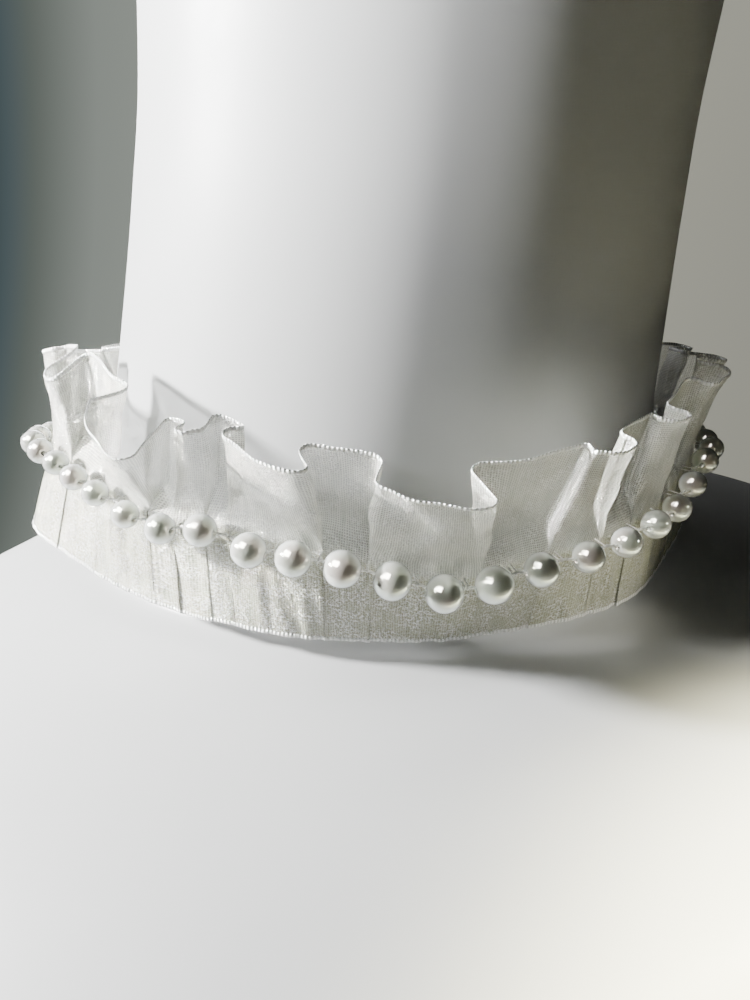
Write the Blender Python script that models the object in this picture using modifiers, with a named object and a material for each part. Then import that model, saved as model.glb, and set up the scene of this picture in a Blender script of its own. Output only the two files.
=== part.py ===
# A ruffled organza choker collar with a row of pearls, worn by a smooth display bust.
# Sizes are in millimetres and become metres in metres(). +Z is up and the front faces -Y.
# The origin is the centre of the bust's flat base.

import math

import bpy
import bmesh
import numpy as np
from mathutils import Matrix, Vector

OBJECT_NAME = "ruffled_choker_collar"

# The collar sits on a plane of its own, which tips down at the front
COLLAR_HEIGHT = 118.0
COLLAR_TILT = math.radians(14.0)

# How far the neck stands behind the middle of the base
NECK_BACK = 13.9

# The pleated ribbon, cut from one length and sewn down along the pearl line
WALL = 1.0
HEM_WALL = 1.6
SEAM_GAP = 0.3
RUFFLE_LIFT = 0.55
RIBBON_WIDTH = 35.0
LINE_RADIUS = 63.1
STITCH_DEPTH = 3.4
RUFFLE_END = 172.0
HEM_END = 176.8
RUFFLE_LEVELS = (0.0, 0.3, 0.64, 1.0)
HEM_LEVELS = (0.0, 0.5, 1.0)
HEM_RELIEF = 0.35
HEM_WAVE = 0.5
HEM_STEPS = (0.0, 0.22, 0.5, 0.78)

# Folds: how far a back fold reaches in under its front, and how tightly it turns
FOLD_BACK = 3.0
TURN_RADIUS = 0.85
TURN_RADIUS_TOP = 1.7
TURN_STEPS = 3
TURN_REACH = 0.47
FRONT_BULGE = 0.7
FRONT_SPREAD = 0.8
UNDER_LEAST = 1.9
RECESS_LEAST = 1.9
STAND_POWER = 1.25
LEAN_DROP = 0.00625

# Pearls threaded along the line, and the closure at the nape
PEARL_RADIUS = 2.4
PEARL_GAP = 0.5
PEARL_STEP = 6.56
PEARL_END = 167.0
PEARL_RINGS = (22.0, 60.0, 90.0, 120.0, 158.0)
THREAD_RADIUS = 0.45
BUTTON_ANGLE = 172.6
BUTTON_RADIUS = 4.0
BUTTON_THICKNESS = 3.2
SHANK_RADIUS = 0.9
SHANK_LENGTH = 1.7
BUTTON_DROP = 7.0
LOOP_WIRE = 0.45
LOOP_WIDTH = 1.55

# Each pearl from the left of the front to its right: its angle, how far it sits above the
# line and its radius. The rest follow on either side in even steps
PEARL_COLUMNS = ("angle", "up", "radius")
PEARLS = (
    (-95.5, 0.1, 2.4),
    (-87.5, 0.6, 2.3),
    (-79.5, 1.0, 2.2),
    (-73.0, 0.9, 2.15),
    (-67.6, 0.7, 2.15),
    (-62.2, 0.6, 2.15),
    (-55.7, 0.2, 2.2),
    (-49.0, 0.2, 2.35),
    (-42.4, 0.5, 2.45),
    (-35.8, -0.6, 2.6),
    (-30.1, 0.3, 2.65),
    (-24.2, 0.5, 2.75),
    (-18.2, 0.2, 2.8),
    (-11.8, 0.1, 2.85),
    (-5.5, 0.5, 2.85),
    (0.9, 0.35, 2.65),
    (8.2, 0.3, 2.5),
    (15.6, 0.2, 2.45),
    (22.8, 0.6, 2.4),
    (30.0, 0.5, 2.4),
    (36.8, 0.9, 2.35),
    (44.0, 1.1, 2.35),
    (53.6, 0.0, 2.35),
)

# Round the neck: the angle from the front (+X side positive), how much further out than
# LINE_RADIUS the pearl line runs, its height, the length of the hem below it, how far the
# standing ruffle leans out and how far the hem tucks in, in millimetres and degrees
PROFILE_COLUMNS = ("angle", "spread", "line", "hem", "flare", "tuck")
PROFILE = (
    (-180.0, 0.0, -17.5, 17.0, 6.0, 0.0),
    (-150.0, 0.5, -16.0, 17.0, 6.0, -3.0),
    (-122.0, 1.5, -12.0, 17.0, 4.0, -8.0),
    (-106.0, 2.4, -7.0, 17.0, 0.0, -14.0),
    (-93.0, 3.0, -2.3, 16.6, -7.0, -20.0),
    (-82.0, 2.5, 0.6, 16.4, -13.0, -22.0),
    (-72.0, 1.2, 1.8, 16.6, -6.0, -17.0),
    (-62.0, 0.2, 1.0, 17.0, -1.0, -9.0),
    (-50.0, 0.0, 0.2, 17.0, 3.0, -2.0),
    (-42.0, 0.0, 2.0, 18.0, 8.0, -1.0),
    (-30.0, 0.0, 0.3, 17.0, 15.0, 3.0),
    (-18.0, 0.0, -2.3, 15.4, 17.0, 9.0),
    (-11.0, 0.0, -4.7, 14.0, 17.0, 13.0),
    (1.0, 0.0, -3.0, 15.0, 18.0, 8.0),
    (9.0, 0.0, -2.9, 15.2, 15.0, 5.0),
    (20.0, -0.4, -3.1, 16.0, 8.0, -1.0),
    (31.0, -0.7, -3.3, 16.5, 5.0, -3.0),
    (44.0, -0.2, -1.2, 17.0, 4.0, -3.0),
    (51.0, 1.0, -1.6, 17.0, 3.0, -3.0),
    (62.0, 1.5, -4.0, 17.0, 2.0, -4.0),
    (75.0, 1.4, -6.8, 17.0, 2.0, -4.0),
    (92.0, 1.0, -9.5, 17.0, 3.0, -4.0),
    (120.0, 0.5, -14.0, 17.0, 4.0, -2.0),
    (150.0, 0.2, -16.8, 17.0, 5.0, 0.0),
)

# One row for each pleat: its middle and half width at the stitches, in degrees, the
# share of that width left at the top edge, how far its front stands out there, how much
# more its right corner stands out than its left, how far the top leans sideways, and how
# far the recess after it rises there, how far each side folds back under it there, and
# how much lower its front ends than the ribbon is wide
PLEAT_COLUMNS = (
    "middle", "half", "narrowing", "depth", "skew", "lean", "rise", "left", "right", "drop"
)
PLEATS = (
    (-165.0, 5.4, 0.85, 7.0, 0.5, 0.5, 0.0, 1.6, 1.6, 0.0),
    (-149.0, 6.0, 0.8, 8.0, -0.8, -1.0, 0.0, 1.6, 1.6, 0.0),
    (-132.0, 5.6, 0.9, 6.5, 0.6, 1.0, 0.0, 1.6, 1.6, 0.0),
    (-115.0, 6.2, 0.8, 7.5, 0.0, -0.8, 0.0, 1.6, 1.6, 0.0),
    (-98.0, 5.8, 0.85, 4.2, -0.5, 0.0, 0.0, 1.6, 1.6, 0.0),
    (-80.0, 6.5, 0.85, 6.8, 0.0, 0.5, 0.0, 1.6, 1.6, 3.2),
    (-60.0, 6.3, 1.35, 11.8, 5.2, 8.5, 3.4, 1.6, 2.2, 0.0),
    (-46.8, 3.2, 0.6, 5.4, -1.0, 4.5, 0.0, 1.6, 1.6, 0.0),
    (-33.8, 7.2, 1.0, 6.0, 2.6, 1.2, 0.0, 5.6, 5.0, 0.0),
    (-13.4, 8.2, 0.75, 8.8, 1.2, -1.2, 0.0, 1.6, 1.6, 0.0),
    (8.6, 5.6, 0.66, 3.4, 0.9, 0.0, 0.0, 1.6, 1.6, 0.0),
    (25.5, 5.4, 0.68, 4.0, 1.8, -0.3, 0.0, 1.6, 1.6, 0.0),
    (44.0, 6.0, 0.85, 5.0, 0.0, 0.5, 0.0, 1.6, 1.6, 0.0),
    (62.0, 6.2, 0.8, 6.0, 0.8, -1.0, 0.0, 1.6, 1.6, 0.0),
    (80.0, 5.6, 0.85, 7.5, 0.8, -1.0, 0.0, 1.6, 1.6, 0.0),
    (97.0, 6.0, 0.8, 7.0, 0.0, 1.0, 0.0, 1.6, 1.6, 0.0),
    (114.0, 5.4, 0.9, 8.0, -0.6, 0.0, 0.0, 1.6, 1.6, 0.0),
    (131.0, 6.3, 0.75, 7.5, 1.0, 1.0, 0.0, 1.6, 1.6, 0.0),
    (148.0, 5.8, 0.85, 6.5, 0.0, -1.0, 0.0, 1.6, 1.6, 0.0),
    (164.2, 5.2, 0.9, 8.0, -0.5, 0.0, 0.0, 1.6, 1.6, 0.0),
)

# The bust from its base up. A section is a squared oval, tilted more and more until it
# lies in the collar's plane
BUST_COLUMNS = ("height", "x", "y", "width", "front", "back", "tilt", "square")
BUST = (
    (0.0, 0.0, 0.0, 118.0, 93.0, 67.0, 0.0, 2.5),
    (3.0, 0.0, 0.0, 121.0, 96.5, 70.0, 0.0, 2.5),
    (30.0, 0.0, 0.0, 128.0, 103.0, 75.0, 1.0, 2.5),
    (52.0, 0.0, 0.0, 131.0, 104.0, 76.0, 3.0, 2.4),
    (66.0, 2.5, 1.5, 128.0, 101.0, 75.0, 4.5, 2.3),
    (76.0, 6.5, 2.5, 117.0, 90.5, 73.5, 5.5, 2.2),
    (82.5, 6.0, 3.3, 101.0, 75.0, 71.0, 6.0, 2.1),
    (87.3, 2.5, 4.0, 84.0, 62.5, 68.0, 6.4, 2.0),
    (90.6, 0.0, 4.0, 69.0, 57.0, 65.0, 6.4, 2.0),
    (92.4, 0.0, 4.0, 60.2, 54.8, 61.0, 6.6, 2.0),
    (97.0, 0.0, 3.8, 59.6, 53.4, 60.0, 8.0, 2.0),
    (104.0, 0.3, 3.0, 58.8, 53.0, 58.2, 11.0, 2.0),
    (118.0, 1.5, 0.6, 56.6, 52.5, 56.0, 14.0, 2.0),
    (137.7, 3.4, -3.7, 53.8, 51.5, 54.0, 14.0, 2.0),
    (157.2, 5.2, -8.0, 51.3, 50.5, 51.5, 14.0, 2.0),
    (176.8, 7.1, -12.3, 49.5, 49.5, 50.0, 14.0, 2.0),
    (201.2, 9.4, -17.7, 49.0, 49.0, 49.0, 14.0, 2.0),
    (207.5, 10.0, -19.1, 47.2, 47.2, 47.2, 14.0, 2.0),
    (211.0, 10.3, -19.9, 43.0, 43.0, 43.0, 14.0, 2.0),
    (213.0, 10.5, -20.4, 34.0, 34.0, 34.0, 14.0, 2.0),
)
BUST_SIDES = 36

# Colour, roughness and metallic value of each material
MATERIALS = {
    "organza": ((0.86, 0.87, 0.84), 0.45, 0.0),
    "pearl": ((0.90, 0.90, 0.86), 0.12, 0.0),
    "thread": ((0.88, 0.88, 0.85), 0.60, 0.0),
    "bust_shell": ((0.84, 0.85, 0.85), 0.38, 0.0),
}


def metres(points):
    return np.asarray(points, float) * 0.001


def read_table(rows, columns, column):
    return np.array([row[columns.index(column)] for row in rows])


def smooth_read(x, values, at, period=None):
    """A soft curve through a table's rows, round a full turn where period is given."""
    if period:
        x = np.concatenate([x[-2:] - period, x, x[:2] + period])
        values = np.concatenate([values[-2:], values, values[:2]])
        at = (at - x[2]) % period + x[2]
    slopes = np.gradient(values, x)
    i = np.clip(np.searchsorted(x, at, side="right") - 1, 0, len(x) - 2)
    span = x[i + 1] - x[i]
    t = (at - x[i]) / span
    start = (1 + 2 * t) * (1 - t) ** 2 * values[i] + t * (1 - t) ** 2 * span * slopes[i]
    end = t * t * (3 - 2 * t) * values[i + 1] - t * t * (1 - t) * span * slopes[i + 1]
    return start + end


def profile(column, angle):
    angles = read_table(PROFILE, PROFILE_COLUMNS, "angle")
    values = read_table(PROFILE, PROFILE_COLUMNS, column)
    return smooth_read(angles, values, np.asarray(angle, float), 360.0)


def mix(a, b, t):
    return a + (b - a) * t


def on_collar(angle, radius, height):
    """A point round the neck, from the collar's plane into the part's own frame."""
    turn = np.radians(angle)
    x = radius * np.sin(turn)
    y = -radius * np.cos(turn)
    tilted_y = y * math.cos(COLLAR_TILT) - height * math.sin(COLLAR_TILT)
    tilted_z = y * math.sin(COLLAR_TILT) + height * math.cos(COLLAR_TILT)
    return np.stack([x, NECK_BACK + tilted_y, COLLAR_HEIGHT + tilted_z], axis=-1)


def line_radius(angle):
    return LINE_RADIUS + profile("spread", angle)


def rounded_corner(before, corner, after, radius):
    """The arc that rounds one corner of a folded line, as TURN_STEPS + 1 points."""
    to_before, to_after = before - corner, after - corner
    length_before, length_after = np.linalg.norm(to_before), np.linalg.norm(to_after)
    to_before, to_after = to_before / length_before, to_after / length_after
    half_angle = 0.5 * math.acos(float(np.clip(to_before @ to_after, -1.0, 1.0)))
    reach = min(radius / math.tan(half_angle), TURN_REACH * min(length_before, length_after))
    radius = reach * math.tan(half_angle)
    middle = to_before + to_after
    centre = corner + middle / np.linalg.norm(middle) * radius / math.sin(half_angle)
    start = corner + to_before * reach - centre
    end = corner + to_after * reach - centre
    turn = math.atan2(start[0] * end[1] - start[1] * end[0], float(start @ end))
    points = []
    for step in range(TURN_STEPS + 1):
        a = turn * step / TURN_STEPS
        c, s = math.cos(a), math.sin(a)
        points.append(centre + (c * start[0] - s * start[1], s * start[0] + c * start[1]))
    return points


def pleat_edges(level=0.0):
    """The middle of each recess, where one pleat ends and the next begins, in degrees."""
    middle = read_table(PLEATS, PLEAT_COLUMNS, "middle")
    half = read_table(PLEATS, PLEAT_COLUMNS, "half")
    lean = read_table(PLEATS, PLEAT_COLUMNS, "lean")
    between = 0.5 * (middle[:-1] + half[:-1] + middle[1:] - half[1:])
    between += 0.5 * (lean[:-1] + lean[1:]) * level
    return np.concatenate([[-RUFFLE_END], between, [RUFFLE_END]])


def pleat_line(pleat, left, right, rise_before, level):
    """One pleat at one level: recess, fold, front, fold. Degrees along, mm outwards."""
    middle, half, narrowing, depth, skew, lean, rise_after, left_under, right_under, _ = pleat
    mm_per_degree = math.radians(LINE_RADIUS)
    centre = middle + lean * level
    half_width = half * mm_per_degree * mix(1.0, narrowing, level) + FRONT_SPREAD * (1 - level)
    stand = mix(STITCH_DEPTH, depth, level**STAND_POWER)
    most_under = half_width - UNDER_LEAST
    left_under = min(mix(FOLD_BACK, left_under, level), most_under)
    right_under = min(mix(FOLD_BACK, right_under, level), most_under)
    left = (left - centre) * mm_per_degree
    right = (right - centre) * mm_per_degree
    line = np.array(
        [
            (left, rise_before * level),
            (max(left_under - half_width, left + RECESS_LEAST), rise_before * level),
            (-half_width, stand - skew * level),
            (half_width, stand + skew * level),
            (min(half_width - right_under, right - RECESS_LEAST), rise_after * level),
            (right, rise_after * level),
        ]
    )
    radius = mix(TURN_RADIUS, TURN_RADIUS_TOP, level)
    points = [line[0]]
    for i in (1, 2, 3, 4):
        points += rounded_corner(line[i - 1], line[i], line[i + 1], radius)
        if i == 2:
            # The front bows out a little between its corners
            for share in (0.33, 0.67):
                points.append(mix(line[2], line[3], share) + (0.0, FRONT_BULGE * level))
    points = np.array(points)
    return centre + points[:, 0] / mm_per_degree, points[:, 1]


def front_share(outwards):
    """How much of each point of a pleat's line is its front: 0 in the recess, 1 outside."""
    low, high = outwards.min(), outwards.max()
    return (outwards - low) / max(high - low, 0.001)


def ruffle_line(level):
    """The whole folded line at one level, from one end of the collar to the other."""
    edges = pleat_edges(level)
    rises = [0.0] + list(read_table(PLEATS, PLEAT_COLUMNS, "rise"))
    table = zip(PLEATS, edges[:-1], edges[1:], rises)
    rows = [pleat_line(pleat, a, b, rise, level) for pleat, a, b, rise in table]
    drops = [row[-1] * front_share(line) for row, (_, line) in zip(PLEATS, rows)]
    angle = np.concatenate([row[0] for row in rows] + [[RUFFLE_END]])
    outwards = np.concatenate([row[1] for row in rows] + [[0.0]])
    length = RIBBON_WIDTH - profile("hem", angle)
    flare = np.radians(profile("flare", angle))
    inner = line_radius(angle) - STITCH_DEPTH
    radius = inner + length * level * np.sin(flare) + outwards
    # A front that leans further out also ends a little lower
    drop = LEAN_DROP * length * level * outwards
    drop += level * level * np.concatenate(drops + [[0.0]])
    start = RUFFLE_LIFT * (1 - level)
    height = profile("line", angle) + start + length * level * np.cos(flare) - drop
    return on_collar(angle, radius, height)


def hem_angles():
    """Round the hem: a few points for each pleat, from one recess to the next."""
    edges = pleat_edges()
    angles = [mix(a, b, share) for a, b in zip(edges[:-1], edges[1:]) for share in HEM_STEPS]
    return np.array([-HEM_END] + angles + [HEM_END])


def hem_relief(angle):
    """1 over the middle of a pressed front and -1 in a recess."""
    edges = pleat_edges()
    turns = np.interp(angle, edges, np.arange(len(edges)))
    return -np.cos(2 * math.pi * turns)


def hem_line(level, inside):
    """One level of the flat hem, on its outer face or on its plain inner face."""
    angle = hem_angles()
    length = profile("hem", angle) - SEAM_GAP / 2
    tuck = np.radians(profile("tuck", angle))
    relief = hem_relief(angle)
    wave = HEM_WAVE * level * relief
    face = WALL / 2 + wave - (HEM_WALL if inside else (1 - relief) * HEM_RELIEF)
    radius = line_radius(angle) + face - length * level * np.sin(tuck)
    height = profile("line", angle) - SEAM_GAP / 2 - length * level * np.cos(tuck)
    return on_collar(angle, radius, height)


def add_object(name, mesh, material, collection):
    obj = bpy.data.objects.new(name, mesh)
    obj.data.materials.append(material)
    collection.objects.link(obj)
    return obj


def grid_mesh(name, rows, close_rows=False, close_ring=False):
    """A sheet of quads through rows of points, closed across or round where asked."""
    bm = bmesh.new()
    verts = [[bm.verts.new(Vector(p)) for p in metres(row)] for row in rows]
    row_pairs = list(zip(verts[:-1], verts[1:]))
    if close_rows:
        row_pairs.append((verts[-1], verts[0]))
    for low, high in row_pairs:
        count = len(low)
        for i in range(count if close_ring else count - 1):
            j = (i + 1) % count
            bm.faces.new((low[i], low[j], high[j], high[i]))
    return bm, verts


def finish_mesh(name, bm, smooth_angle=50.0):
    bmesh.ops.recalc_face_normals(bm, faces=bm.faces)
    mesh = bpy.data.meshes.new(name)
    bm.to_mesh(mesh)
    bm.free()
    mesh.shade_smooth()
    mesh.set_sharp_from_angle(angle=math.radians(smooth_angle))
    return mesh


def build_ruffle(collection, material):
    """The standing box pleats: an open folded sheet, given the ribbon's wall."""
    bm, _ = grid_mesh("ribbon_ruffle", [ruffle_line(level) for level in RUFFLE_LEVELS])
    obj = add_object("ribbon_ruffle", finish_mesh("ribbon_ruffle", bm), material, collection)
    wall = obj.modifiers.new("wall", "SOLIDIFY")
    wall.thickness = WALL * 0.001
    wall.offset = 0.0
    wall.use_even_offset = True
    return obj


def build_hem(collection, material):
    """The flat half below the pearls: pressed pleats outside, plain inside."""
    outer = [hem_line(level, False) for level in HEM_LEVELS]
    inner = [hem_line(level, True) for level in reversed(HEM_LEVELS)]
    bm, verts = grid_mesh("ribbon_hem", outer + inner, close_rows=True)
    for end in (0, -1):
        column = [row[end] for row in verts]
        half = len(HEM_LEVELS)
        for i in range(half - 1):
            bm.faces.new((column[i], column[i + 1], column[-2 - i], column[-1 - i]))
    return add_object("ribbon_hem", finish_mesh("ribbon_hem", bm), material, collection)


def pearl_places():
    """Every pearl's angle, how far it sits above the line and its radius."""
    first, last = PEARLS[0][0], PEARLS[-1][0]
    before = [(first - PEARL_STEP * i, 0.0, PEARL_RADIUS) for i in range(1, 60)]
    after = [(last + PEARL_STEP * i, 0.0, PEARL_RADIUS) for i in range(1, 60)]
    return [row for row in before[::-1] + list(PEARLS) + after if abs(row[0]) < PEARL_END]


def strand_point(angle, up, size):
    """The middle of the strand where pearls of this radius touch the cloth but for a gap."""
    radius = line_radius(angle) + WALL / 2 + PEARL_GAP + size
    return on_collar(angle, radius, profile("line", angle) + up)


def build_pearls(collection, material):
    """Pearls on their thread as one turned strand that swells at each pearl."""
    path, radii = [], []
    places = pearl_places()
    before = [(places[0][0] - PEARL_STEP, 0.0, PEARL_RADIUS)] + places[:-1]
    for last, pearl in zip(before, places):
        # The thread half way to this pearl, then the pearl's own rings
        path.append(strand_point(*[(a + b) / 2 for a, b in zip(last, pearl)]))
        radii.append(THREAD_RADIUS)
        middle, up, size = pearl
        half = math.degrees(size / (LINE_RADIUS + WALL / 2 + PEARL_GAP + size))
        for ring in PEARL_RINGS:
            share = math.radians(ring)
            path.append(strand_point(middle - half * math.cos(share), up, size))
            radii.append(size * math.sin(share))
    curve = bpy.data.curves.new("pearl_strand", "CURVE")
    curve.dimensions = "3D"
    curve.bevel_depth = 0.001
    curve.bevel_resolution = 2
    curve.use_fill_caps = True
    spline = curve.splines.new("POLY")
    spline.points.add(len(path) - 1)
    for point, place, radius in zip(spline.points, metres(path), radii):
        point.co = (*place, 1.0)
        point.radius = radius
    return add_object("pearl_strand", curve, material, collection)


def closure_frame(angle, height):
    """A frame on the hem's outer face: +X round the neck, +Z straight out of the cloth."""
    radius = line_radius(angle) + WALL / 2
    place = metres(on_collar(angle, radius, height))
    out = Vector(metres(on_collar(angle, radius + 1.0, height)) - place).normalized()
    up = Vector(metres(on_collar(angle, radius, height + 1.0)) - place).normalized()
    along = up.cross(out).normalized()
    matrix = Matrix((along, up, out)).transposed().to_4x4()
    matrix.translation = Vector(place)
    return matrix


def build_button(collection, material):
    """A domed pearl button, turned with its shank, that stands on the hem's left end."""
    head = SEAM_GAP + SHANK_LENGTH
    profile_points = [(0.0, head + BUTTON_THICKNESS)]
    for step in range(1, 6):
        a = math.radians(18.0 * step)
        profile_points.append(
            (BUTTON_RADIUS * math.sin(a), head + BUTTON_THICKNESS * (0.4 + 0.6 * math.cos(a)))
        )
    profile_points += [(BUTTON_RADIUS * 0.8, head), (SHANK_RADIUS, head)]
    profile_points += [(SHANK_RADIUS, SEAM_GAP), (0.0, SEAM_GAP)]
    mesh = bpy.data.meshes.new("closure_button")
    points = [metres((r, 0.0, z)) for r, z in profile_points]
    edges = [(i, i + 1) for i in range(len(points) - 1)]
    mesh.from_pydata(points, edges, [])
    obj = add_object("closure_button", mesh, material, collection)
    screw = obj.modifiers.new("turn", "SCREW")
    screw.steps = screw.render_steps = 20
    screw.use_merge_vertices = True
    screw.merge_threshold = 0.00001
    screw.use_smooth_shade = True
    height = float(profile("line", BUTTON_ANGLE)) - BUTTON_DROP
    obj.matrix_world = closure_frame(BUTTON_ANGLE, height)
    return obj


def build_loop(collection, material):
    """The thread loop from the hem's other end, round the shank under the button."""
    height = float(profile("line", 180.0)) - BUTTON_DROP
    lift = line_radius(180.0) + WALL / 2 + SEAM_GAP + LOOP_WIRE
    near = BUTTON_ANGLE
    far = 360.0 - HEM_END + 3.0
    half_span = math.radians(far - near) * lift / 2
    middle = (near + far) / 2
    curve = bpy.data.curves.new("closure_loop", "CURVE")
    curve.dimensions = "3D"
    curve.bevel_depth = LOOP_WIRE * 0.001
    curve.bevel_resolution = 2
    spline = curve.splines.new("POLY")
    outline = []
    for end in (-1, 1):
        for step in range(7):
            a = math.radians(-90.0 + 30.0 * step)
            along = end * (half_span + LOOP_WIDTH * math.cos(a))
            outline.append((along, end * LOOP_WIDTH * math.sin(a)))
    spline.points.add(len(outline) - 1)
    for point, (along, up) in zip(spline.points, outline):
        angle = middle + math.degrees(along / lift)
        point.co = (*metres(on_collar(angle, lift, height + up)), 1.0)
    spline.use_cyclic_u = True
    return add_object("closure_loop", curve, material, collection)


def bust_section(row):
    height, x, y, width, front, back, tilt, square = row
    points = []
    for i in range(BUST_SIDES):
        a = 2 * math.pi * i / BUST_SIDES
        c, s = math.cos(a), math.sin(a)
        across = width * math.copysign(abs(c) ** (2 / square), c)
        deep = (back if s > 0 else front) * math.copysign(abs(s) ** (2 / square), s)
        lean = math.radians(tilt)
        points.append(
            (x + across, NECK_BACK + y + deep * math.cos(lean), height + deep * math.sin(lean))
        )
    return points


def build_bust(collection, material):
    """The display bust: a smooth loft from its flat base to a plain domed neck."""
    bm, verts = grid_mesh("display_bust", [bust_section(row) for row in BUST], close_ring=True)
    for ring in (verts[0], verts[-1]):
        bm.faces.new(ring)
    return add_object("display_bust", finish_mesh("display_bust", bm), material, collection)


def make_material(name):
    colour, roughness, metallic = MATERIALS[name]
    material = bpy.data.materials.new(name)
    material.use_nodes = True
    shader = material.node_tree.nodes["Principled BSDF"]
    shader.inputs["Base Color"].default_value = (*colour, 1.0)
    shader.inputs["Roughness"].default_value = roughness
    shader.inputs["Metallic"].default_value = metallic
    return material


def main():
    for obj in list(bpy.data.objects):
        bpy.data.objects.remove(obj, do_unlink=True)
    collection = bpy.data.collections.new(OBJECT_NAME)
    bpy.context.scene.collection.children.link(collection)
    materials = {name: make_material(name) for name in MATERIALS}
    build_bust(collection, materials["bust_shell"])
    build_ruffle(collection, materials["organza"])
    build_hem(collection, materials["organza"].copy())
    build_pearls(collection, materials["pearl"])
    build_button(collection, materials["pearl"].copy())
    build_loop(collection, materials["thread"])


main()
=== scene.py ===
"""Looks for the ruffled organza choker collar on its display bust.

Lengths are in millimetres, in the part's own frame, and become metres in metres().
The tables and the folded line repeat those of the CAD part, at a finer step.
"""

import math

import bmesh
import bpy
import numpy as np
from mathutils import Matrix, Vector


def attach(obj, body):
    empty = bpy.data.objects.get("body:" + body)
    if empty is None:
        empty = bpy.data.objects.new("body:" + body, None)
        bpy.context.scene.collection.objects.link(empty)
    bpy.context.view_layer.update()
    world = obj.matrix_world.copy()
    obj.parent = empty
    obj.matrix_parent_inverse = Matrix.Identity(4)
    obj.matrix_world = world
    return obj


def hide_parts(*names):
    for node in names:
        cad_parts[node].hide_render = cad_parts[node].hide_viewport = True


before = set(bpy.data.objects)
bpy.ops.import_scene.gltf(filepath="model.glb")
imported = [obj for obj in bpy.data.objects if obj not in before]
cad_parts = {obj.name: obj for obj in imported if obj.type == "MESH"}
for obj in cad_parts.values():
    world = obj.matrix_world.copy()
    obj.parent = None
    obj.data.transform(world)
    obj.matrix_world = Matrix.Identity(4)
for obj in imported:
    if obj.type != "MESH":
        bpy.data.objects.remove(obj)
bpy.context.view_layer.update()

# ---- the part's own sizes

# The collar's plane: how high it crosses its axis, how far back that is, and its lean
COLLAR_HEIGHT = 118.0
NECK_BACK = 13.9
COLLAR_TILT = math.radians(14.0)

# The pleated ribbon, sewn down along the pearl line. Its ends are degrees from the front
WALL = 1.0
RIBBON_WIDTH = 35.0
LINE_RADIUS = 63.1
STITCH_DEPTH = 3.4
RUFFLE_END = 172.0
HEM_END = 176.8

# Folds: how far a back fold reaches in under its front, and how tightly it turns
FOLD_BACK = 3.0
TURN_RADIUS = 0.85
TURN_RADIUS_TOP = 1.7
TURN_REACH = 0.47
FRONT_SPREAD = 0.8
UNDER_LEAST = 1.9
RECESS_LEAST = 1.9
STAND_POWER = 1.25
LEAN_DROP = 0.00625

# Pearls threaded along the line, and the closure at the nape
PEARL_RADIUS = 2.4
PEARL_GAP = 0.5
PEARL_STEP = 6.56
PEARL_END = 167.0
BUTTON_ANGLE = 172.6
BUTTON_RADIUS = 4.0
BUTTON_THICKNESS = 3.2
SHANK_RADIUS = 0.9
SHANK_LENGTH = 1.7
BUTTON_DROP = 7.0
LOOP_WIRE = 0.45
LOOP_WIDTH = 1.55
SEAM_GAP = 0.3

# Each pearl from the left of the front to its right: its angle, how far it sits above the
# line and its radius. The rest follow on either side in even steps
PEARL_COLUMNS = ("angle", "up", "radius")
PEARLS = (
    (-95.5, 0.1, 2.4),
    (-87.5, 0.6, 2.3),
    (-79.5, 1.0, 2.2),
    (-73.0, 0.9, 2.15),
    (-67.6, 0.7, 2.15),
    (-62.2, 0.6, 2.15),
    (-55.7, 0.2, 2.2),
    (-49.0, 0.2, 2.35),
    (-42.4, 0.5, 2.45),
    (-35.8, -0.6, 2.6),
    (-30.1, 0.3, 2.65),
    (-24.2, 0.5, 2.75),
    (-18.2, 0.2, 2.8),
    (-11.8, 0.1, 2.85),
    (-5.5, 0.5, 2.85),
    (0.9, 0.35, 2.65),
    (8.2, 0.3, 2.5),
    (15.6, 0.2, 2.45),
    (22.8, 0.6, 2.4),
    (30.0, 0.5, 2.4),
    (36.8, 0.9, 2.35),
    (44.0, 1.1, 2.35),
    (53.6, 0.0, 2.35),
)

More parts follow.
